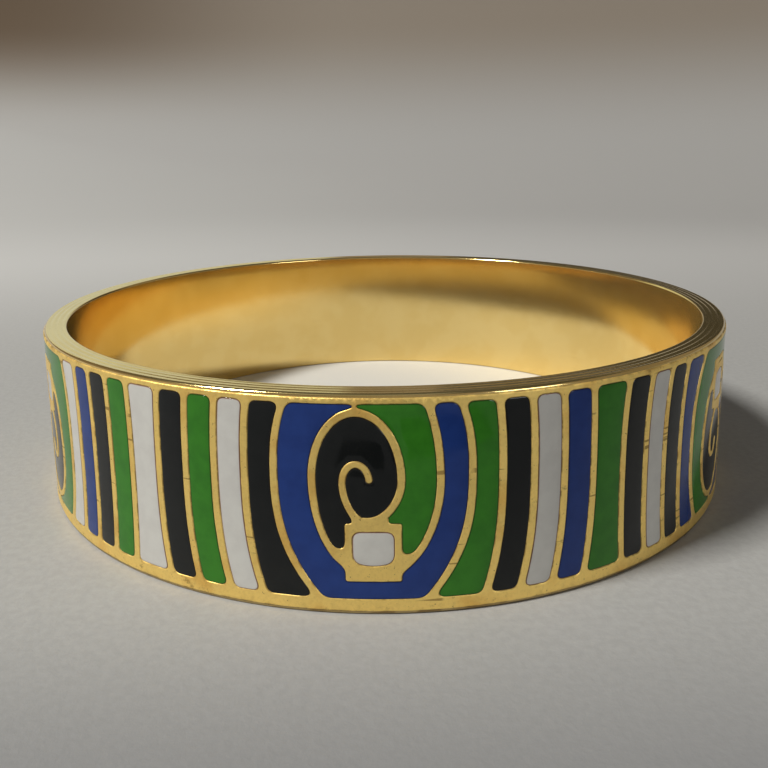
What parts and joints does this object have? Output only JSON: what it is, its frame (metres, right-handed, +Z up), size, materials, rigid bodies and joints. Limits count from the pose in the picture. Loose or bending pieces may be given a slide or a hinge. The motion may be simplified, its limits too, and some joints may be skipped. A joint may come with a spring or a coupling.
{
  "type": "bangle bracelet",
  "caption": "Rigid round slip-on bangle: gold-plated ring whose outer band holds enamel cells in stripes and spiral-and-oval motifs.",
  "frame": {"origin": "centre of the ring on its bottom face, the face it lies on", "axes": "+Z up along the ring's axis; the first upright motif faces -Y; +X to the viewer's right"},
  "size_m": [0.0688, 0.0688, 0.016],
  "materials": {
    "gold_inner": "polished",
    "gold_rim": "polished",
    "gold_band": "satin",
    "enamel_white": "gloss",
    "enamel_blue": "gloss",
    "enamel_black": "gloss",
    "enamel_green": "gloss"
  },
  "bodies": {
    "root": {"inner_ring": "gold_inner", "bottom_rim": "gold_rim", "cell_band": "gold_band", "motif_1_u_field": "enamel_blue", "motif_1_spiral_field": "enamel_black", "motif_1_side_field": "enamel_green", "motif_1_window": "enamel_white", "motif_2_u_field": "enamel_green", "motif_2_spiral_field": "enamel_black", "motif_2_side_field": "enamel_blue", "motif_2_window": "enamel_white", "motif_3_u_field": "enamel_blue", "motif_3_spiral_field": "enamel_black", "motif_3_side_field": "enamel_green", "motif_3_window": "enamel_white", "motif_4_u_field": "enamel_green", "motif_4_spiral_field": "enamel_black", "motif_4_side_field": "enamel_blue", "motif_4_window": "enamel_white", "motif_5_u_field": "enamel_blue", "motif_5_spiral_field": "enamel_black", "motif_5_side_field": "enamel_green", "motif_5_window": "enamel_white", "motif_6_u_field": "enamel_green", "motif_6_spiral_field": "enamel_black", "motif_6_side_field": "enamel_blue", "motif_6_window": "enamel_white", "panel_1_white_stripes": "enamel_white", "panel_1_blue_stripes": "enamel_blue", "panel_1_black_stripes": "enamel_black", "panel_1_green_stripes": "enamel_green", "panel_2_white_stripes": "enamel_white", "panel_2_blue_stripes": "enamel_blue", "panel_2_black_stripes": "enamel_black", "panel_2_green_stripes": "enamel_green", "panel_3_white_stripes": "enamel_white", "panel_3_blue_stripes": "enamel_blue", "panel_3_black_stripes": "enamel_black", "panel_3_green_stripes": "enamel_green", "panel_4_white_stripes": "enamel_white", "panel_4_blue_stripes": "enamel_blue", "panel_4_black_stripes": "enamel_black", "panel_4_green_stripes": "enamel_green", "panel_5_white_stripes": "enamel_white", "panel_5_blue_stripes": "enamel_blue", "panel_5_black_stripes": "enamel_black", "panel_5_green_stripes": "enamel_green", "panel_6_white_stripes": "enamel_white", "panel_6_blue_stripes": "enamel_blue", "panel_6_black_stripes": "enamel_black", "panel_6_green_stripes": "enamel_green"}
  },
  "joints": []
}
